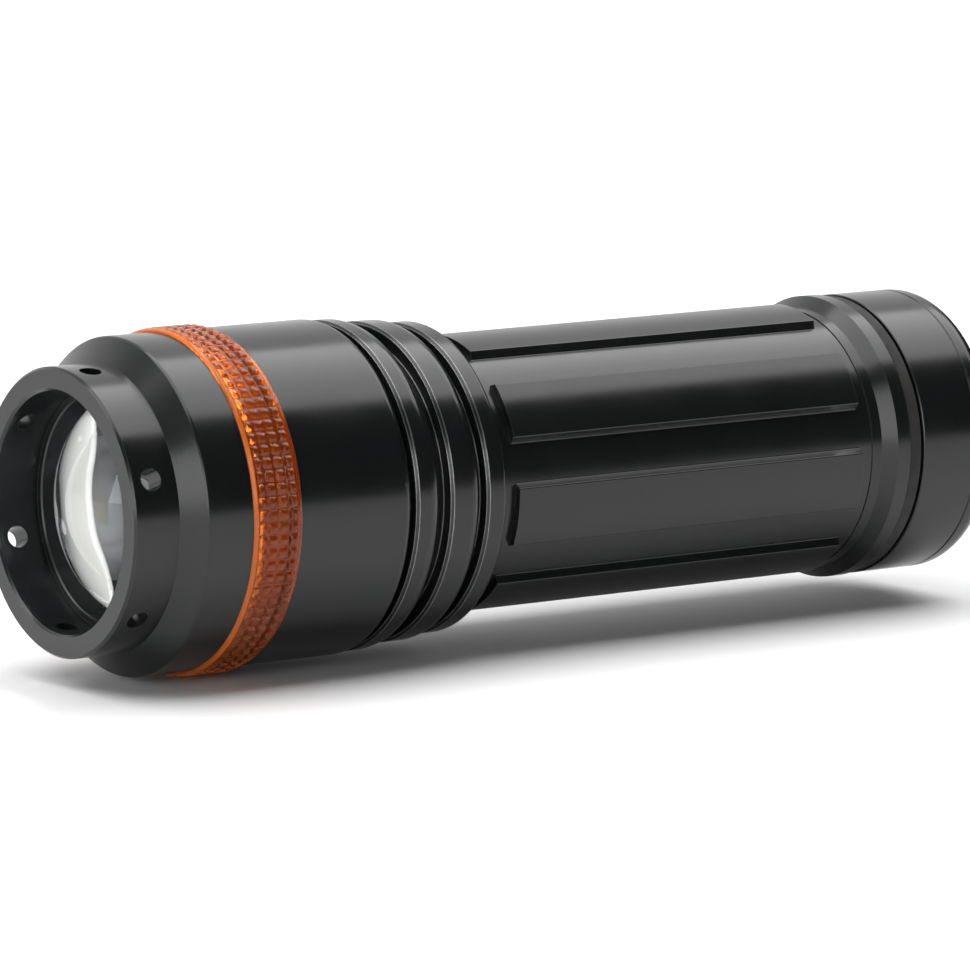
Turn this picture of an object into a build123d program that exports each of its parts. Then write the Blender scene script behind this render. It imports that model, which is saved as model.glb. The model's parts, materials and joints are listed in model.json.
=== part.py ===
from build123d import *
from math import cos, radians, sin
import os

# Sliding-focus LED flashlight for three AAA cells, millimetres.
# The light's axis lies along X, with the lens facing -X. Stations are distances along
# the axis from the bezel's front face, radii are measured from the axis, and angles
# start at the -Y side and turn upwards. The origin is under the middle of the light,
# on the surface that its widest ring lies on.

LENGTH = 110.5
GLOW_RADIUS = 18.0
AXIS_HEIGHT = GLOW_RADIUS
FIT = 0.05

# Bezel: collar, cone and front cylinder
COLLAR_RADIUS = 14.9
COLLAR_BORE = 12.45
COLLAR_END = 5.3
CONE_END = 7.2
BEZEL_END = 12.4
HEAD_RADIUS = 17.5
SPIGOT_END = 19.0
SPIGOT_RADIUS = 15.6
SPIGOT_BORE = 13.9
HOLE_COUNT = 6
HOLE_RADIUS = 1.15
HOLE_STATION = 2.4
HOLE_ANGLE = 19.4

# Lens stack inside the bezel
LENS_RING_START = 5.2
LENS_FLANGE_START = 8.1
LENS_FLANGE_END = 10.1
LENS_BACK = 10.6
LENS_SHOULDER = 11.0
LENS_APEX = 2.1
LENS_RIM_RADIUS = 12.3
LENS_DOME_RADIUS = 11.5
LENS_APERTURE = 11.1

# Head shell and its grip ribs: front station, rear station, radius, rear rounding
GLOW_END = 18.0
HEAD_TUBE_END = 31.9
HEAD_TUBE_ROUNDING = 1.0
RIBS = [(32.5, 36.0, 17.3, 1.9), (37.1, 41.1, 16.85, 1.5), (41.9, 44.4, 16.4, 0.6)]
GROOVE_RADII = [15.9, 15.3, 14.9]
RIB_CHAMFER = 0.28
HEAD_END = 44.4
HEAD_BORE = 14.9
GUIDE_BORE = 14.2
GUIDE_START = 33.0

# Barrel
BARREL_START = 19.5
BASE_RADIUS = 14.05
LAND_RADIUS = 14.85
LAND_COUNT = 8
LAND_WIDTH = 24.1
LAND_FOOT_WIDTH = 28.1
LAND_ANGLE = 34.0
LAND_START = 47.0
LAND_END = 92.2
LAND_ROUNDING = 0.15
STEP_STATION = 93.9
FLARE_START = 95.1
FLANGE_START = 96.4
BARREL_END = 98.2
FLANGE_RADIUS = 15.4
PILL_BORE = 11.95
PILL_BORE_END = 33.0
BATTERY_BORE = 11.4
CAP_BORE = 12.35
CAP_BORE_START = 88.5

# Sliding fit of the head on the barrel
STOP_START = 22.8
STOP_END = 24.0
STOP_RADIUS = 14.6
STOP_GROOVE_RADIUS = 12.9
SEAL_STATIONS = [33.9, 35.9]
SEAL_HALF_WIDTH = 0.7
SEAL_GROOVE_RADIUS = 12.7

# LED pill
PILL_FACE = 18.3
PILL_FLANGE_RADIUS = 12.6
PILL_RADIUS = 11.9
PILL_FLOOR = 21.0
PILL_END = 32.0
PILL_HOLLOW = 10.4
BOARD_THICKNESS = 1.1
STAR_RADIUS = 9.0
EMITTER_SIZE = 3.5
EMITTER_HEIGHT = 0.7
EMITTER_DOME = 1.3
DRIVER_START = 30.4
DRIVER_THICKNESS = 1.2
WIRE_RADIUS = 0.5
WIRE_CIRCLE = 6.0

# Battery carrier for three AAA cells
CELL_COUNT = 3
CELL_RADIUS = 5.1
CELL_CIRCLE = 5.9
CELL_BODY = 43.7
CELL_TIP = 0.8
CELL_TIP_RADIUS = 1.9
CARRIER_START = 35.0
CARRIER_END = 87.0
CARRIER_RADIUS = 11.2
PLATE_THICKNESS = 2.0
POST_CIRCLE = 9.6
POST_RADIUS = 1.4
CONTACT_THICKNESS = 0.5

# Tail cap
CAP_START = 100.1
CAP_RADIUS = 15.3
CAP_SPIGOT_START = 88.7
CAP_SPIGOT_RADIUS = 12.3
CAP_SPIGOT_BORE = 11.2
CAP_WALL_START = 102.0
RECESS_FLOOR = 105.5
RECESS_RADIUS = 9.6
BUTTON_HOLE_RADIUS = 6.6
SHOULDER_ROUNDING = 2.2
SHOULDER_LINE = 107.2
LINE_DEPTH = 0.15
THREAD_PITCH = 1.0
THREAD_DEPTH = 0.45
THREAD_START = 89.6
THREAD_TURNS = 7
BAND_START = 98.25
BAND_END = 99.8
BAND_RADIUS = 15.2

# Tail switch and push button
SWITCH_RING_START = 90.8
SWITCH_BOARD_START = 92.3
SWITCH_START = 93.5
SWITCH_END = 99.0
SWITCH_RADIUS = 8.0
PLUNGER_RADIUS = 2.0
PLUNGER_START = 97.5
WASHER_START = 99.2
SKIRT_START = 101.2
BUTTON_RADIUS = 6.3
BUTTON_TOP = 109.2
BUTTON_WALL = 1.3

os.makedirs("parts", exist_ok=True)


def save(name, *solids):
    """Move solids from axis coordinates to the part's frame and write one STEP."""
    placed = [Pos(-LENGTH / 2, 0, AXIS_HEIGHT) * solid for solid in solids]
    shape = placed[0] if len(placed) == 1 else Compound(children=placed)
    export_step(shape, f"parts/{name}.step")


def turned(*points):
    """Solid of revolution about the axis from (station, radius) corners."""
    return revolve(make_face(Polyline(*points, close=True)), Axis.X)


def ring(start, end, outer, inner=0.0):
    """Plain ring, or a disc when inner is 0."""
    return turned((start, inner), (end, inner), (end, outer), (start, outer))


def around(angle, radius):
    """Y and Z of a point beside the axis."""
    return -radius * cos(radians(angle)), radius * sin(radians(angle))


def rod(start, end, radius, angle=0.0, offset=0.0):
    """Cylinder parallel to the axis."""
    y, z = around(angle, offset)
    return Pos(0, y, z) * ring(start, end, radius)


def rims(solid, station, radius):
    """Circular edges of a turned solid at one station and radius."""
    circles = solid.edges().filter_by(GeomType.CIRCLE)
    return [e for e in circles if abs(e.arc_center.X - station) < 0.01 and abs(e.radius - radius) < 0.01]


def toroid(station, ring_radius, wire_radius):
    """Round-section ring about the axis."""
    return Pos(station, 0, 0) * Rot(0, 90, 0) * Torus(ring_radius, wire_radius)


def coil(start, radii, wire_radius, pitch):
    """Closed coils of a compressed spring, one toroid for each turn."""
    return [toroid(start + wire_radius + i * pitch, r, wire_radius) for i, r in enumerate(radii)]


def bezel():
    """Front collar with six radial holes, cone, front cylinder and threaded spigot."""
    body = turned(
        (0, COLLAR_BORE), (LENS_SHOULDER, COLLAR_BORE), (LENS_SHOULDER, LENS_APERTURE),
        (BEZEL_END, LENS_APERTURE), (BEZEL_END, SPIGOT_BORE), (SPIGOT_END, SPIGOT_BORE),
        (SPIGOT_END, SPIGOT_RADIUS), (BEZEL_END, SPIGOT_RADIUS), (BEZEL_END, HEAD_RADIUS),
        (CONE_END, HEAD_RADIUS), (COLLAR_END, COLLAR_RADIUS), (0, COLLAR_RADIUS))
    body = chamfer(rims(body, 0, COLLAR_RADIUS) + rims(body, 0, COLLAR_BORE), 0.25)
    body = fillet(rims(body, CONE_END, HEAD_RADIUS), 0.4)
    for i in range(HOLE_COUNT):
        drill = Pos(HOLE_STATION, 0, COLLAR_BORE + 1) * Cylinder(HOLE_RADIUS, 6)
        body -= Rot(90 - HOLE_ANGLE + i * 360 / HOLE_COUNT, 0, 0) * drill
    return body


def lens():
    """Plano-convex aspheric lens with a flat flange round its rim."""
    dome = Spline(
        (LENS_APEX, 0), (3.15, 5.2), (5.3, 9.2), (LENS_FLANGE_START, LENS_DOME_RADIUS),
        tangents=[(0, 1), (1, 0.55)])
    rim = Polyline(
        (LENS_FLANGE_START, LENS_DOME_RADIUS), (LENS_FLANGE_START, LENS_RIM_RADIUS),
        (LENS_FLANGE_END, LENS_RIM_RADIUS), (LENS_FLANGE_END, LENS_APERTURE - FIT),
        (LENS_BACK, LENS_APERTURE - FIT), (LENS_BACK, 0), (LENS_APEX, 0))
    return revolve(make_face(Curve() + [dome, rim]), Axis.X)


def head_parts():
    """Everything that slides and turns with the focusing head."""
    save("bezel", bezel())
    inner = LENS_DOME_RADIUS + 0.1
    retainer = ring(LENS_RING_START, LENS_FLANGE_START, COLLAR_BORE - FIT, inner)
    retainer = chamfer(rims(retainer, LENS_RING_START, inner), 0.12)
    save("lens_retaining_ring", retainer)
    save("lens", lens())
    save("lens_gasket", ring(LENS_FLANGE_END, LENS_SHOULDER, COLLAR_BORE - FIT, LENS_APERTURE))
    glow = ring(BEZEL_END, GLOW_END, GLOW_RADIUS, SPIGOT_RADIUS + FIT)
    save("glow_ring", chamfer(rims(glow, BEZEL_END, GLOW_RADIUS), 0.25))
    save("head_shell", head_shell())


def head_shell():
    """Tube behind the glow ring, with three grip ribs whose rear edges are rounded."""
    outline = [(GLOW_END, SPIGOT_RADIUS + FIT), (GLOW_END, HEAD_RADIUS), (HEAD_TUBE_END, HEAD_RADIUS)]
    rear = HEAD_TUBE_END
    for (front, back, radius, _), groove in zip(RIBS, GROOVE_RADII):
        outline += [(rear, groove), (front, groove), (front, radius), (back, radius)]
        rear = back
    outline += [
        (HEAD_END, GUIDE_BORE), (GUIDE_START, GUIDE_BORE), (GUIDE_START, HEAD_BORE),
        (SPIGOT_END + 0.3, HEAD_BORE), (SPIGOT_END + 0.3, SPIGOT_RADIUS + FIT)]
    body = turned(*outline)
    body = fillet(rims(body, HEAD_TUBE_END, HEAD_RADIUS), HEAD_TUBE_ROUNDING)
    for front, back, radius, rounding in RIBS:
        body = fillet(rims(body, back, radius), rounding)
        body = chamfer(rims(body, front, radius), RIB_CHAMFER)
    return chamfer(rims(body, GLOW_END, HEAD_RADIUS), 0.15)


def lands():
    """Raised grip lands of the barrel, with sloped sides, as one extruded section."""
    section = Circle(BASE_RADIUS)
    for i in range(LAND_COUNT):
        centre = LAND_ANGLE + i * 360 / LAND_COUNT
        corners = [
            (BASE_RADIUS - 1, centre - LAND_FOOT_WIDTH / 2 + 3), (BASE_RADIUS, centre - LAND_FOOT_WIDTH / 2),
            (LAND_RADIUS, centre - LAND_WIDTH / 2), (LAND_RADIUS + 1, centre),
            (LAND_RADIUS, centre + LAND_WIDTH / 2), (BASE_RADIUS, centre + LAND_FOOT_WIDTH / 2),
            (BASE_RADIUS - 1, centre + LAND_FOOT_WIDTH / 2 - 3)]
        outline = Polyline(*[around(angle, radius) for radius, angle in corners], close=True)
        section += make_face(outline) & Circle(LAND_RADIUS)
    corners = [v for v in section.vertices() if Vector(v.X, v.Y, 0).length > BASE_RADIUS - 0.1]
    section = fillet(corners, LAND_ROUNDING)
    length = extrude(section - Circle(BASE_RADIUS - 1), LAND_END - LAND_START)
    return Pos(LAND_START, 0, 0) * Rot(0, 90, 0) * Rot(0, 0, 90) * length


def barrel():
    """Machined tube: plain neck inside the head, grip lands, flared rear flange."""
    sunk = BASE_RADIUS - 0.5
    tube = turned(
        (BARREL_START, PILL_BORE), (BARREL_START, BASE_RADIUS), (LAND_START, BASE_RADIUS),
        (LAND_START, sunk), (LAND_END, sunk), (LAND_END, BASE_RADIUS), (STEP_STATION, BASE_RADIUS),
        (STEP_STATION, BASE_RADIUS + 0.1), (FLARE_START, BASE_RADIUS + 0.2),
        (FLANGE_START, FLANGE_RADIUS), (BARREL_END, FLANGE_RADIUS), (BARREL_END, CAP_BORE),
        (CAP_BORE_START, CAP_BORE), (CAP_BORE_START, BATTERY_BORE),
        (PILL_BORE_END, BATTERY_BORE), (PILL_BORE_END, PILL_BORE))
    tube = chamfer(rims(tube, BARREL_END, FLANGE_RADIUS), 0.1)
    for station in SEAL_STATIONS:
        front, back = station - SEAL_HALF_WIDTH, station + SEAL_HALF_WIDTH
        tube -= ring(front, back, BASE_RADIUS + 1, SEAL_GROOVE_RADIUS)
    tube -= ring(STOP_START - FIT, STOP_END + FIT, BASE_RADIUS + 1, STOP_GROOVE_RADIUS)
    return tube + lands()


def stop_ring():
    """Open snap ring that keeps the head on the barrel."""
    body = ring(STOP_START, STOP_END, STOP_RADIUS, STOP_GROOVE_RADIUS + FIT)
    return body - Pos(STOP_START, 0, -STOP_RADIUS) * Box(10, 4, 6)


def barrel_parts():
    """Barrel tube with the pieces fixed to its front."""
    save("barrel_tube", barrel())
    save("stop_ring", stop_ring())
    for name, station in zip(["focus_seal_front", "focus_seal_rear"], SEAL_STATIONS):
        seal = ring(station - 0.6, station + 0.6, GUIDE_BORE - FIT, SEAL_GROOVE_RADIUS + FIT)
        corners = rims(seal, station - 0.6, GUIDE_BORE - FIT) + rims(seal, station + 0.6, GUIDE_BORE - FIT)
        save(name, fillet(corners, 0.45))


def pill():
    """Aluminium heat sink that screws into the barrel's front, hollow at the back."""
    body = turned(
        (PILL_FACE, 0), (PILL_FACE, PILL_FLANGE_RADIUS), (BARREL_START, PILL_FLANGE_RADIUS),
        (BARREL_START, PILL_RADIUS), (PILL_END, PILL_RADIUS), (PILL_END, PILL_HOLLOW),
        (PILL_FLOOR, PILL_HOLLOW), (PILL_FLOOR, 0))
    for angle in (0, 180):
        body -= rod(PILL_FACE - 1, PILL_FLOOR + 1, WIRE_RADIUS + 0.3, angle, WIRE_CIRCLE)
    return body


def led_parts():
    """LED board, emitter and driver on the heat sink."""
    star_start = PILL_FACE - BOARD_THICKNESS
    save("led_pill", pill())
    save("led_board", ring(star_start, PILL_FACE, STAR_RADIUS))
    save("led_centring_ring", ring(star_start - 0.6, star_start, 5.0, 2.7))
    package = Pos(star_start - EMITTER_HEIGHT / 2, 0, 0) * Box(EMITTER_HEIGHT, EMITTER_SIZE, EMITTER_SIZE)
    save("led_emitter", package)
    dome = Pos(star_start - EMITTER_HEIGHT, 0, 0) * Sphere(EMITTER_DOME)
    save("led_dome", dome & ring(star_start - EMITTER_HEIGHT - 2, star_start - EMITTER_HEIGHT, 2))
    wires = [rod(PILL_FACE + 0.1, DRIVER_START, WIRE_RADIUS, angle, WIRE_CIRCLE) for angle in (0, 180)]
    save("led_wires", *wires)
    driver_end = DRIVER_START + DRIVER_THICKNESS
    save("driver_board", ring(DRIVER_START, driver_end, PILL_HOLLOW - FIT))
    chips = [Pos(DRIVER_START - 0.8, 0, z) * Box(1.6, 4.0, 3.4) for z in (-3.6, 3.6)]
    save("driver_chips", *chips)
    save("driver_contact_spring", *coil(driver_end, [3.0, 2.6, 2.2], 0.4, 0.85))


def cell(index):
    """Body and tip of one AAA cell; neighbours face opposite ways."""
    angle = 90 + index * 360 / CELL_COUNT
    first = CARRIER_START + PLATE_THICKNESS + CONTACT_THICKNESS + CELL_TIP
    last = CARRIER_END - PLATE_THICKNESS - CONTACT_THICKNESS - CELL_TIP
    start = first if index != 1 else last - CELL_BODY
    body = fillet(rod(start, start + CELL_BODY, CELL_RADIUS, angle, CELL_CIRCLE).edges(), 0.5)
    tip_start = start - CELL_TIP if index != 1 else start + CELL_BODY
    return body, rod(tip_start, tip_start + CELL_TIP, CELL_TIP_RADIUS, angle, CELL_CIRCLE)


def carrier_spring(index):
    """Spring behind one cell's flat end."""
    y, z = around(90 + index * 360 / CELL_COUNT, CELL_CIRCLE)
    front = CARRIER_START + PLATE_THICKNESS
    start = front if index == 1 else CARRIER_END - PLATE_THICKNESS - 2.55
    return [Pos(0, y, z) * turn for turn in coil(start, [3.4, 3.0, 2.6], 0.4, 0.85)]


def battery_parts():
    """Carrier plates, posts and contacts with their three cells."""
    front_end = CARRIER_START + PLATE_THICKNESS
    rear_start = CARRIER_END - PLATE_THICKNESS
    save("carrier_front_plate", ring(CARRIER_START, front_end, CARRIER_RADIUS, 2.2))
    save("carrier_rear_plate", ring(rear_start, CARRIER_END, CARRIER_RADIUS, 2.2))
    angles = [30 + i * 360 / CELL_COUNT for i in range(CELL_COUNT)]
    save("carrier_posts", *[rod(front_end, rear_start, POST_RADIUS, a, POST_CIRCLE) for a in angles])
    cells = [cell(i) for i in range(CELL_COUNT)]
    save("cells", *[body for body, _ in cells])
    save("cell_tips", *[tip for _, tip in cells])
    save("carrier_springs", *[turn for i in range(CELL_COUNT) for turn in carrier_spring(i)])
    save("carrier_front_contact", ring(CARRIER_START - 0.4, front_end, 2.15))
    save("carrier_rear_contact", ring(rear_start, CARRIER_END + 0.2, 2.15))


def tail_cap():
    """Cap with a threaded spigot, a button hole and a recess that lets it stand."""
    thread = []
    for i in range(THREAD_TURNS):
        start = THREAD_START + i * THREAD_PITCH
        thread += [(start, CAP_SPIGOT_RADIUS), (start + 0.35, CAP_SPIGOT_RADIUS - THREAD_DEPTH),
                   (start + 0.65, CAP_SPIGOT_RADIUS - THREAD_DEPTH)]
    body = turned(
        (CAP_SPIGOT_START, CAP_SPIGOT_BORE), (CAP_SPIGOT_START, CAP_SPIGOT_RADIUS), *thread,
        (THREAD_START + THREAD_TURNS * THREAD_PITCH, CAP_SPIGOT_RADIUS), (CAP_START, CAP_SPIGOT_RADIUS),
        (CAP_START, CAP_RADIUS), (SHOULDER_LINE, CAP_RADIUS),
        (SHOULDER_LINE + LINE_DEPTH, CAP_RADIUS - LINE_DEPTH), (SHOULDER_LINE + 2 * LINE_DEPTH, CAP_RADIUS),
        (LENGTH, CAP_RADIUS), (LENGTH, RECESS_RADIUS),
        (RECESS_FLOOR, RECESS_RADIUS), (RECESS_FLOOR, BUTTON_HOLE_RADIUS),
        (CAP_WALL_START, BUTTON_HOLE_RADIUS), (CAP_WALL_START, CAP_SPIGOT_BORE))
    body = fillet(rims(body, LENGTH, CAP_RADIUS), SHOULDER_ROUNDING)
    body = chamfer(rims(body, LENGTH, RECESS_RADIUS), 0.3)
    return chamfer(rims(body, CAP_START, CAP_RADIUS), 0.1)


def switch_housing():
    """Click-switch case with a well for its plunger."""
    well = ring(SWITCH_START + 1, SWITCH_END + 1, PLUNGER_RADIUS + 0.3)
    return ring(SWITCH_START, SWITCH_END, SWITCH_RADIUS) - well


def button_boot():
    """Moving dome of the rubber button, hollow round its centre pusher."""
    shell = ring(SKIRT_START + 0.1, BUTTON_TOP, BUTTON_RADIUS)
    shell = fillet(rims(shell, BUTTON_TOP, BUTTON_RADIUS), 1.6)
    hollow = ring(SKIRT_START, BUTTON_TOP - BUTTON_WALL, BUTTON_RADIUS - BUTTON_WALL, PLUNGER_RADIUS)
    return shell - hollow


def tail_parts():
    """Tail cap, its seal, the switch inside it and the push button."""
    band = ring(BAND_START, BAND_END, BAND_RADIUS, CAP_SPIGOT_RADIUS + FIT)
    corners = rims(band, BAND_START, BAND_RADIUS) + rims(band, BAND_END, BAND_RADIUS)
    save("tail_seal_band", fillet(corners, 0.2))
    save("tail_cap", tail_cap())
    bore = CAP_SPIGOT_BORE - FIT
    ring_body = ring(SWITCH_RING_START, SWITCH_BOARD_START, bore, 8.4)
    for z in (-9.8, 9.8):
        ring_body -= Pos(SWITCH_RING_START, 0, z) * Cylinder(0.7, 6, rotation=(0, 90, 0))
    save("switch_retaining_ring", ring_body)
    save("switch_board", ring(SWITCH_BOARD_START, SWITCH_START, bore))
    springs = coil(CARRIER_END + 0.5, [2.4, 2.8, 3.2, 3.6, 4.0], 0.4, 0.88)
    save("tail_contact_spring", *springs)
    save("switch_housing", switch_housing())
    save("boot_washer", ring(WASHER_START, SKIRT_START, bore, BUTTON_HOLE_RADIUS + 0.5))
    save("boot_skirt", ring(SKIRT_START, CAP_WALL_START, bore, BUTTON_HOLE_RADIUS))
    save("button_boot", button_boot())
    save("switch_plunger", ring(PLUNGER_START, SKIRT_START + 0.1, PLUNGER_RADIUS))


def slide_parts():
    """Nylon ring that slides with the head and lets it turn."""
    save("glide_ring", ring(GUIDE_START - 1.1, GUIDE_START - 0.1, HEAD_BORE - FIT, GUIDE_BORE))


head_parts()
slide_parts()
barrel_parts()
led_parts()
battery_parts()
tail_parts()
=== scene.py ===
import bpy
import bmesh
import json
import math
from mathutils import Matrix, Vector


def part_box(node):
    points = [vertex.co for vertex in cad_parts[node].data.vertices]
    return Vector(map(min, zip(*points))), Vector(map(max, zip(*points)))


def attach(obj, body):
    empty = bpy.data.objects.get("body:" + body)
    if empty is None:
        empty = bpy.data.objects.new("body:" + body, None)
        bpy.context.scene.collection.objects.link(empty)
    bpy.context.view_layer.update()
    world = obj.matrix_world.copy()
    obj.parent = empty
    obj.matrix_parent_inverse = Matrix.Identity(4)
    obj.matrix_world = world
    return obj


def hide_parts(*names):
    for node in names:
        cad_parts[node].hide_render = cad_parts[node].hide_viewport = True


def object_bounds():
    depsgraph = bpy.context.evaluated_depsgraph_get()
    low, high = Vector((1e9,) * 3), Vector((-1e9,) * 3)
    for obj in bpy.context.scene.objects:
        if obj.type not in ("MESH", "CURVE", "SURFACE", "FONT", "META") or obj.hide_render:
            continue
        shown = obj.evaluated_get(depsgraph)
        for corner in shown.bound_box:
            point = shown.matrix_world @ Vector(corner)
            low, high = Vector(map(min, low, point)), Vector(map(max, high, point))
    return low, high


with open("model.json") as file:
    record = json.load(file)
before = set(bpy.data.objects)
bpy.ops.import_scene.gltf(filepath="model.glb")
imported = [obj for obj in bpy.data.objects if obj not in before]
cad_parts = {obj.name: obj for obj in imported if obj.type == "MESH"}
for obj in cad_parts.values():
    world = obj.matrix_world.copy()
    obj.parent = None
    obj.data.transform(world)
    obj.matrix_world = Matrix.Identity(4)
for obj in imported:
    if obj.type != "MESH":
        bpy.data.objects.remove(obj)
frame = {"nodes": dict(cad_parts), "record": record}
cad_low, cad_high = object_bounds()
nodes = frame["nodes"]

MM = 0.001
MICRON = 0.000001

# The flashlight's axis, and stations along it counted from the front face, come from the frame
AXIS_Z = (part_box("barrel_tube")[0].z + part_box("barrel_tube")[1].z) / 2
FRONT_X = cad_low.x
LENGTH = cad_high.x - cad_low.x


def station(mm):
    """X of a station, in metres."""
    return FRONT_X + mm * MM


def in_scene(name, data):
    """Object with its data, linked to the scene."""
    obj = bpy.data.objects.new(name, data)
    bpy.context.scene.collection.objects.link(obj)
    return obj


# ---------------------------------------------------------------- shader nodes

def new_material(name):
    """Material with its node tree and Principled shader."""
    mat = bpy.data.materials.new(name)
    mat.use_nodes = True
    tree = mat.node_tree
    return mat, tree, tree.nodes["Principled BSDF"]


def add(tree, kind, **inputs):
    """Node of a kind, with its input sockets set by name."""
    node = tree.nodes.new(kind)
    for key, value in inputs.items():
        node.inputs[key.replace("_", " ")].default_value = value
    return node


def noise(tree, scale, detail, rough=0.5, stretch=(1, 1, 1)):
    """Object-space noise value."""
    coords = tree.nodes.new("ShaderNodeTexCoord")
    mapping = add(tree, "ShaderNodeMapping", Scale=stretch)
    tex = add(tree, "ShaderNodeTexNoise", Scale=scale, Detail=detail, Roughness=rough)
    tree.links.new(coords.outputs["Object"], mapping.inputs["Vector"])
    tree.links.new(mapping.outputs["Vector"], tex.inputs["Vector"])
    return tex.outputs["Fac"]


def spread(tree, value, low, high, start=0.3, end=0.7):
    """Value remapped from start and end to low and high."""
    node = add(tree, "ShaderNodeMapRange", From_Min=start, From_Max=end, To_Min=low, To_Max=high)
    tree.links.new(value, node.inputs["Value"])
    return node.outputs["Result"]


def product(tree, first, second):
    """Two values multiplied."""
    node = tree.nodes.new("ShaderNodeMath")
    node.operation = "MULTIPLY"
    tree.links.new(first, node.inputs[0])
    tree.links.new(second, node.inputs[1])
    return node.outputs["Value"]


def blend_colours(tree, value, first, second):
    """Colour between two colours, each a tuple or the socket that gives it."""
    node = tree.nodes.new("ShaderNodeMix")
    node.data_type = "RGBA"
    for key, colour in (("A", first), ("B", second)):
        if isinstance(colour, tuple):
            node.inputs[key].default_value = (*colour, 1)
        else:
            tree.links.new(colour, node.inputs[key])
    tree.links.new(value, node.inputs["Factor"])
    return node.outputs["Result"]


def bump(tree, shader, value, distance, strength, under=None):
    """Bump into the shader's normal; under is another bump to lie on."""
    node = add(tree, "ShaderNodeBump", Strength=strength, Distance=distance)
    tree.links.new(value, node.inputs["Height"])
    if under:
        tree.links.new(under, node.inputs["Normal"])
    tree.links.new(node.outputs["Normal"], shader.inputs["Normal"])
    return node.outputs["Normal"]


def edge_mask(tree, radius):
    """1 on convex and concave edges, 0 on flat ground."""
    bevel = add(tree, "ShaderNodeBevel", Radius=radius)
    bevel.samples = 6
    geometry = tree.nodes.new("ShaderNodeNewGeometry")
    dot = tree.nodes.new("ShaderNodeVectorMath")
    dot.operation = "DOT_PRODUCT"
    tree.links.new(bevel.outputs["Normal"], dot.inputs[0])
    tree.links.new(geometry.outputs["Normal"], dot.inputs[1])
    return spread(tree, dot.outputs["Value"], 1.0, 0.0, start=0.86, end=0.985)


def band(tree, first, last, fade):
    """One between two stations along the axis, fading to zero behind the last one."""
    sharp = 0.05
    coords = tree.nodes.new("ShaderNodeTexCoord")
    split = tree.nodes.new("ShaderNodeSeparateXYZ")
    tree.links.new(coords.outputs["Object"], split.inputs["Vector"])
    along = split.outputs["X"]
    behind = spread(tree, along, 0.0, 1.0, station(first), station(first + sharp))
    before = spread(tree, along, 1.0, 0.0, station(last), station(last + fade))
    return product(tree, behind, before)


def near_axis(tree, radius):
    """One within a radius of the flashlight's axis, zero outside it."""
    soft = 0.1
    coords = tree.nodes.new("ShaderNodeTexCoord")
    flat = tree.nodes.new("ShaderNodeVectorMath")
    flat.operation = "MULTIPLY_ADD"
    flat.inputs[1].default_value = (0, 1, 1)
    flat.inputs[2].default_value = (0, 0, -AXIS_Z)
    length = tree.nodes.new("ShaderNodeVectorMath")
    length.operation = "LENGTH"
    tree.links.new(coords.outputs["Object"], flat.inputs[0])
    tree.links.new(flat.outputs["Vector"], length.inputs[0])
    return spread(tree, length.outputs["Value"], 1.0, 0.0, radius * MM, (radius + soft) * MM)


# ---------------------------------------------------------------- materials

def anodised(name, base, wear_and_highlight_colour, low, high, bright_cut=0.0):
    """Satin black anodised aluminium: fine grain, faint lathe lines, and edges painted lighter,
    partly edge wear and partly painted highlight.

    bright_cut bares the edges instead, and is how metallic they are.
    """
    mat, tree, shader = new_material(name)
    lighter = tuple(c * 1.35 + 0.002 for c in base)
    ground = blend_colours(tree, noise(tree, 90, 4), base, lighter)
    edges = edge_mask(tree, (0.2 if bright_cut else 0.25) * MM)
    patches = (0.85, 1.0) if bright_cut else (0.15, 0.6)
    # Edges are painted lighter: partly edge wear, partly a painted highlight that stands in for the
    # light lines along the edges.
    wear_and_highlight_mask = product(tree, edges, spread(tree, noise(tree, 260, 3), *patches))
    tree.links.new(blend_colours(tree, wear_and_highlight_mask, ground, wear_and_highlight_colour), shader.inputs["Base Color"])
    tree.links.new(spread(tree, noise(tree, 160, 5), low, high), shader.inputs["Roughness"])
    lathe = noise(tree, 900, 2, 0.4, (6, 0.02, 0.02))
    lines = bump(tree, shader, lathe, 4 * MICRON, 0.5)
    bump(tree, shader, noise(tree, 5200, 2), 6 * MICRON, 0.45, lines)
    if bright_cut:
        bared = spread(tree, edges, 0.0, bright_cut, start=0.2, end=0.8)
        tree.links.new(bared, shader.inputs["Metallic"])
    return mat


def metal(name, base, darker, low, high):
    """Bare turned or plated metal."""
    mat, tree, shader = new_material(name)
    colour = blend_colours(tree, noise(tree, 220, 4), base, darker)
    tree.links.new(colour, shader.inputs["Base Color"])
    tree.links.new(spread(tree, noise(tree, 400, 4), low, high), shader.inputs["Roughness"])
    bump(tree, shader, noise(tree, 900, 2, 0.4, (6, 0.05, 0.05)), 6 * MICRON, 0.6)
    shader.inputs["Metallic"].default_value = 1.0
    return mat


def polymer(name, base, other, low, high, coat=0.0):
    """Moulded plastic, rubber or board lacquer."""
    mat, tree, shader = new_material(name)
    colour = blend_colours(tree, noise(tree, 180, 4), base, other)
    tree.links.new(colour, shader.inputs["Base Color"])
    tree.links.new(spread(tree, noise(tree, 500, 4), low, high), shader.inputs["Roughness"])
    bump(tree, shader, noise(tree, 2500, 3), 10 * MICRON, 0.6)
    shader.inputs["Coat Weight"].default_value = coat
    return mat


def let_shadows_through(tree, shader):
    """Shadow rays pass the glass, so what lies behind it is lit."""
    path = tree.nodes.new("ShaderNodeLightPath")
    clear = tree.nodes.new("ShaderNodeBsdfTransparent")
    mix = tree.nodes.new("ShaderNodeMixShader")
    tree.links.new(path.outputs["Is Shadow Ray"], mix.inputs["Fac"])
    tree.links.new(shader.outputs["BSDF"], mix.inputs[1])
    tree.links.new(clear.outputs["BSDF"], mix.inputs[2])
    tree.links.new(mix.outputs["Shader"], tree.nodes["Material Output"].inputs["Surface"])


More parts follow.
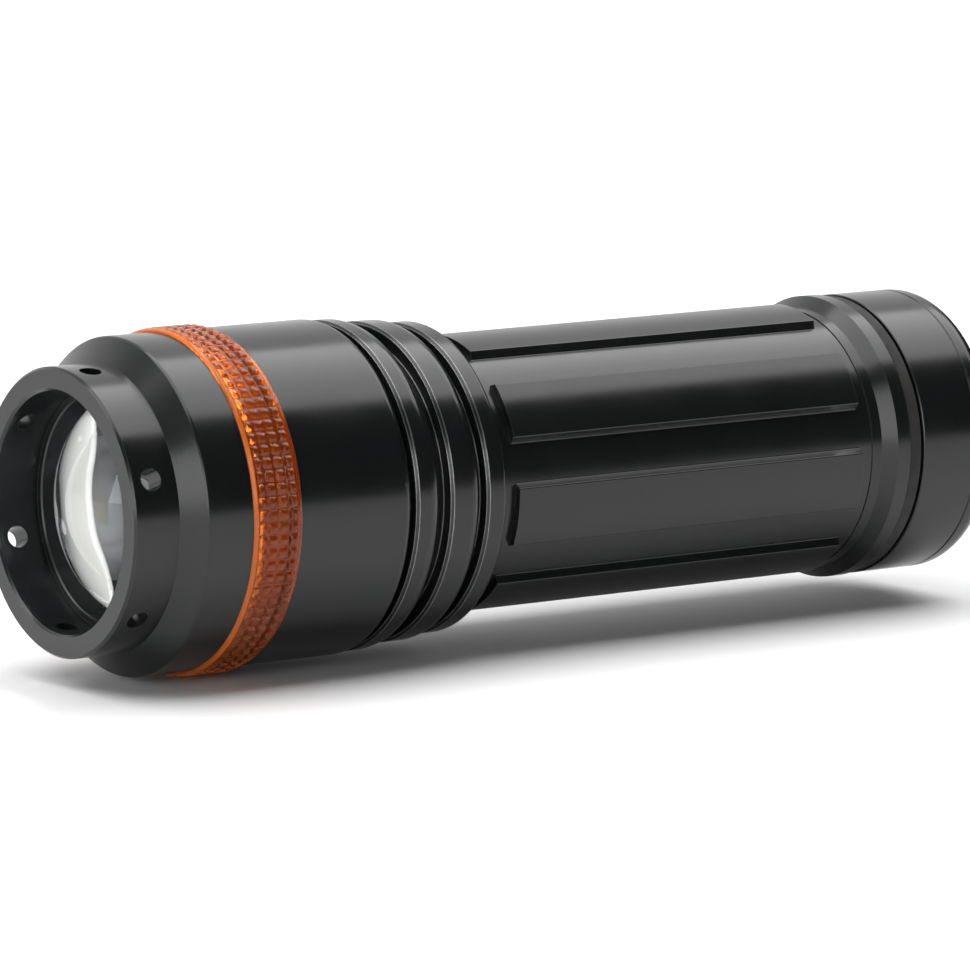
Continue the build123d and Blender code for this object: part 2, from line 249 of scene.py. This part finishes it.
def clear_glass(name, colour, ior):
    """Polished glass or clear silicone with the faintest smudging."""
    mat, tree, shader = new_material(name)
    shader.inputs["Base Color"].default_value = (*colour, 1)
    shader.inputs["IOR"].default_value = ior
    shader.inputs["Transmission Weight"].default_value = 1.0
    tree.links.new(spread(tree, noise(tree, 120, 4), 0.0, 0.02), shader.inputs["Roughness"])
    let_shadows_through(tree, shader)
    return mat


def painted(mat, first, last, fade, radius, colour, other):
    """Matt paint within a radius of the axis, from one station to another and thinning behind it."""
    tree = mat.node_tree
    base = tree.nodes["Principled BSDF"].inputs["Base Color"]
    mask = product(tree, band(tree, first, last, fade), near_axis(tree, radius))
    paint = blend_colours(tree, noise(tree, 400, 3), colour, other)
    under = base.links[0].from_socket
    tree.links.new(blend_colours(tree, mask, under, paint), base)


def amber(name):
    """Clear amber moulding: dark where the prisms are looked through, milkier in its front rim."""
    front_rim_end = 12.72
    prisms_end = 18.2
    mat, tree, shader = new_material(name)
    tint = blend_colours(tree, noise(tree, 700, 3), (0.97, 0.20, 0.022), (0.99, 0.27, 0.036))
    tree.links.new(tint, shader.inputs["Base Color"])
    tree.links.new(spread(tree, noise(tree, 900, 3), 0.04, 0.12), shader.inputs["Roughness"])
    bump(tree, shader, noise(tree, 1500, 2), 10 * MICRON, 0.3)
    prisms = band(tree, front_rim_end, prisms_end, fade=0.05)
    clearness = spread(tree, prisms, 0.6, 0.91, start=0.0, end=1.0)
    tree.links.new(clearness, shader.inputs["Transmission Weight"])
    shader.inputs["IOR"].default_value = 1.4
    return mat


BLACK = (0.0045, 0.0050, 0.0052)
# Lighter edge colour: partly edge wear, partly a painted edge highlight
EDGE_WEAR_AND_HIGHLIGHT = (0.05, 0.05, 0.05)
SATIN = (0.17, 0.23)

finishes = {
    "anodised_black": anodised("anodised_black", BLACK, EDGE_WEAR_AND_HIGHLIGHT, *SATIN),
    # Its edges are painted lighter grey: partly edge wear, partly a painted edge highlight
    "retaining_ring_black": anodised(
        "retaining_ring_black", (0.0045, 0.0048, 0.005), (0.12, 0.12, 0.12), 0.2, 0.28),
    "optical_glass": clear_glass("optical_glass", (0.90, 0.94, 1.0), ior=1.5),
    "led_silicone": clear_glass("led_silicone", (0.98, 0.98, 0.96), ior=1.41),
    "rubber_black": polymer(
        "rubber_black", (0.008, 0.0075, 0.007), (0.014, 0.0125, 0.011), 0.58, 0.76),
    "amber_plastic": amber("amber_plastic"),
    "white_nylon": polymer("white_nylon", (0.78, 0.78, 0.75), (0.72, 0.71, 0.67), 0.4, 0.55),
    "spring_steel": metal("spring_steel", (0.62, 0.61, 0.58), (0.50, 0.49, 0.47), 0.2, 0.35),
    "bare_aluminium": metal("bare_aluminium", (0.80, 0.80, 0.82), (0.70, 0.70, 0.72), 0.22, 0.38),
    "board_white": polymer(
        "board_white", (0.86, 0.86, 0.83), (0.80, 0.80, 0.78), 0.3, 0.45, coat=0.3),
    "board_green": polymer(
        "board_green", (0.02, 0.16, 0.06), (0.03, 0.20, 0.08), 0.3, 0.45, coat=0.3),
    "led_phosphor": polymer("led_phosphor", (0.42, 0.36, 0.16), (0.48, 0.41, 0.20), 0.4, 0.6),
    "wire_insulation": polymer(
        "wire_insulation", (0.55, 0.03, 0.02), (0.62, 0.05, 0.03), 0.3, 0.4),
    "chip_black": polymer("chip_black", (0.02, 0.02, 0.022), (0.03, 0.03, 0.03), 0.4, 0.55),
    "carrier_plastic": polymer(
        "carrier_plastic", (0.03, 0.03, 0.032), (0.04, 0.04, 0.042), 0.4, 0.55),
    "cell_sleeve": polymer(
        "cell_sleeve", (0.03, 0.07, 0.12), (0.04, 0.09, 0.15), 0.2, 0.3, coat=0.5),
    "contact_brass": metal("contact_brass", (0.78, 0.60, 0.28), (0.66, 0.48, 0.20), 0.22, 0.38),
}

# The bezel's spigot is grey under the glow ring, and white in the chamber behind the lens
lined_bezel = anodised("anodised_black_lined", BLACK, EDGE_WEAR_AND_HIGHLIGHT, *SATIN)
painted(
    lined_bezel, first=12.45, last=18.2, fade=0.1, radius=15.8,
    colour=(0.13, 0.125, 0.115), other=(0.10, 0.096, 0.088))
painted(
    lined_bezel, first=11.0, last=12.8, fade=9.0, radius=14.4,
    colour=(0.86, 0.84, 0.78), other=(0.78, 0.76, 0.70))
# The head shell's rib edges are painted pale and metallic: partly bright-cut bare metal, partly a
# painted edge highlight
ribs_cut_and_highlit = anodised("anodised_black_cut_highlit", BLACK, (0.55, 0.55, 0.55), *SATIN, bright_cut=0.9)

for entry in frame["record"]["subparts"]:
    mesh = nodes[entry["node"]].data
    mesh.materials.clear()
    mesh.materials.append(finishes[entry["material_slot"]])
nodes["head_shell"].data.materials[0] = ribs_cut_and_highlit
nodes["bezel"].data.materials[0] = lined_bezel


# ---------------------------------------------------------------- prisms of the glow ring

PRISMS_ROUND = 83
STEPS_PER_PRISM = 10
PRISM_HEIGHT = 0.32
PRISM_SQUARENESS = 2.4

# Profile of the ring in millimetres: stations counted from its front end, and radii
RING_CLEARANCE = 0.01
RING_BORE = 15.66
RING_FLOOR = 17.66
RING_CORNER = 17.30
FRONT_RIM = (
    (0.0, 17.60), (0.10, 17.74), (0.24, 17.87), (0.37, 17.93), (0.45, 17.92), (0.50, RING_FLOOR))
BLOCKS = ((0.53, 1.38), (1.64, 2.66), (2.94, 3.92))
BLOCK_SLOPE = 0.16
GROOVE = ((4.02, 17.50), (4.18, 17.50))
BEADS = (4.28, 5.16)
BEAD_SLOPE = 0.2
REAR_RIM = ((5.26, 17.70), (5.40, 17.80))
REAR_CORNER = 17.74

# Share of a block's slope, and share of its height reached there
SLOPE_SHAPE = ((0.0, 0.0), (0.35, 0.62), (0.7, 0.90), (1.0, 1.0))


def plain(start, points):
    """Profile points without prisms."""
    return [(start + mm, radius, 0) for mm, radius in points]


def prism_column(start, end, slope):
    """Profile points of one column of prisms: station, floor and share of the prism's height."""
    front = [(start + slope * along, RING_FLOOR, up) for along, up in SLOPE_SHAPE]
    back = [(end - slope * along, RING_FLOOR, up) for along, up in reversed(SLOPE_SHAPE)]
    return front + back


def ring_profile(start, end):
    """Closed profile of the ring, from bore to bore."""
    profile = [(start, RING_BORE, 0), (start, RING_CORNER, 0)]
    profile += plain(start, FRONT_RIM)
    for first, last in BLOCKS:
        profile += prism_column(start + first, start + last, BLOCK_SLOPE)
    profile += plain(start, GROOVE)
    profile += prism_column(start + BEADS[0], start + BEADS[1], BEAD_SLOPE)
    profile += plain(start, REAR_RIM)
    profile += [(end, REAR_CORNER, 0), (end, RING_CORNER, 0), (end, RING_BORE, 0)]
    return profile


def prism_ring():
    """Amber ring with three columns of blocks and one of beads, between smooth rims."""
    low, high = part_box("glow_ring")
    start = (low.x - FRONT_X) / MM + RING_CLEARANCE
    end = (high.x - FRONT_X) / MM - RING_CLEARANCE
    profile = ring_profile(start, end)
    shell = bmesh.new()
    columns = []
    count = PRISMS_ROUND * STEPS_PER_PRISM
    for i in range(count):
        across = (i % STEPS_PER_PRISM) / STEPS_PER_PRISM * 2 - 1
        swell = (1 - abs(across) ** PRISM_SQUARENESS) * PRISM_HEIGHT
        angle = 2 * math.pi * i / count
        column = []
        for mm, floor_radius, share in profile:
            radius = (floor_radius + share * swell) * MM
            place = (station(mm), -radius * math.cos(angle), AXIS_Z + radius * math.sin(angle))
            column.append(shell.verts.new(place))
        columns.append(column)
    for i, column in enumerate(columns):
        neighbour = columns[(i + 1) % count]
        for j in range(len(profile)):
            k = (j + 1) % len(profile)
            shell.faces.new((column[j], column[k], neighbour[k], neighbour[j]))
    bmesh.ops.recalc_face_normals(shell, faces=shell.faces)
    for face in shell.faces:
        face.smooth = True
    mesh = bpy.data.meshes.new("glow_prisms")
    shell.to_mesh(mesh)
    shell.free()
    mesh.materials.append(finishes["amber_plastic"])
    ring = in_scene("glow_prisms", mesh)
    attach(ring, "head")
    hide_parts("glow_ring")


prism_ring()

# ---------------------------------------------------------------- camera, floor, light

CAMERA_AZIMUTH = -35.0
CAMERA_ELEVATION = 8.5
CAMERA_DISTANCE = 0.7302
FOCAL_LENGTH = 256
SENSOR_WIDTH = 36
FLOOR_HALF = 6.0

# Where the camera aims, in millimetres from the flashlight's middle and from its axis
AIM_BEFORE_MIDDLE = 2.3
AIM_BELOW_AXIS = 1.7


def look_from(azimuth, elevation, distance, aim):
    """Camera that stands off from aim; azimuth 0 looks along +Y."""
    a, e = math.radians(azimuth), math.radians(elevation)
    back = Vector((math.sin(a) * math.cos(e), -math.cos(a) * math.cos(e), math.sin(e)))
    camera = in_scene("camera", bpy.data.cameras.new("camera"))
    camera.location = aim + back * distance
    camera.rotation_mode = "QUATERNION"
    camera.rotation_quaternion = (-back).to_track_quat("-Z", "Y")
    camera.data.sensor_width = SENSOR_WIDTH
    camera.data.lens = FOCAL_LENGTH
    camera.data.clip_start = 0.01
    bpy.context.scene.camera = camera


def area_light(name, place, aim, width, height, radiance):
    """Rectangular softbox; radiance is its brightness, whatever its size."""
    data = bpy.data.lights.new(name, "AREA")
    data.shape = "RECTANGLE"
    data.size, data.size_y = width, height
    data.energy = radiance * math.pi * width * height
    lamp = in_scene(name, data)
    lamp.location = place
    lamp.rotation_mode = "QUATERNION"
    lamp.rotation_quaternion = (Vector(aim) - Vector(place)).to_track_quat("-Z", "Y")


def inside_light(name, mm, radius, watts):
    """Small fill light on the axis that isn't seen itself."""
    data = bpy.data.lights.new(name, "POINT")
    data.energy = watts
    data.shadow_soft_size = radius
    lamp = in_scene(name, data)
    lamp.location = (station(mm), 0, AXIS_Z)
    lamp.visible_camera = False
    lamp.visible_glossy = False
    lamp.visible_transmission = False


def floor():
    """Plain pale floor."""
    mesh = bpy.data.meshes.new("floor")
    half = FLOOR_HALF
    level = cad_low.z
    corners = [(-half, -half, level), (half, -half, level), (half, half, level), (-half, half, level)]
    mesh.from_pydata(corners, [], [(0, 1, 2, 3)])
    obj = in_scene("floor", mesh)
    mat, tree, shader = new_material("floor")
    shader.inputs["Base Color"].default_value = (0.86, 0.86, 0.86, 1)
    shader.inputs["Roughness"].default_value = 0.7
    mesh.materials.append(mat)


def studio_world(front, back):
    """Surroundings that are dim towards -Y and +X, pale towards +Y and greyer towards -X."""
    world = bpy.data.worlds.new("studio")
    world.use_nodes = True
    tree = world.node_tree
    coords = tree.nodes.new("ShaderNodeTexCoord")
    split = tree.nodes.new("ShaderNodeSeparateXYZ")
    tree.links.new(coords.outputs["Generated"], split.inputs["Vector"])
    depth = spread(tree, split.outputs["Y"], front, back, start=-0.1, end=0.45)
    right = spread(tree, split.outputs["X"], 1.0, 0.03, start=0.64, end=0.80)
    left = spread(tree, split.outputs["X"], 0.55, 1.0, start=-0.55, end=-0.30)
    level = product(tree, product(tree, depth, right), left)
    background = tree.nodes["Background"]
    background.inputs["Color"].default_value = (1, 1, 1, 1)
    tree.links.new(level, background.inputs["Strength"])
    bpy.context.scene.world = world


camera_aim = Vector(
    (station(LENGTH / MM / 2 - AIM_BEFORE_MIDDLE), 0, AXIS_Z - AIM_BELOW_AXIS * MM))
look_from(CAMERA_AZIMUTH, CAMERA_ELEVATION, CAMERA_DISTANCE, camera_aim)
floor()
area_light(
    "overhead", (0.35, 0.10, 1.5), (0.35, 0.10, 0), width=3.9, height=1.55, radiance=2.9)
inside_light("behind_lens", mm=12.5, radius=1.5 * MM, watts=0.0052)
area_light(
    "left_card", (-1.6, -0.35, 0.32), (0, -0.35, 0.32), width=1.7, height=0.60, radiance=3.0)
area_light(
    "near_card", (-1.6, -1.75, 0.72), (0, -1.75, 0.72), width=1.1, height=1.40, radiance=3.0)
studio_world(front=0.02, back=1.0)
bpy.context.scene.view_settings.view_transform = "Standard"
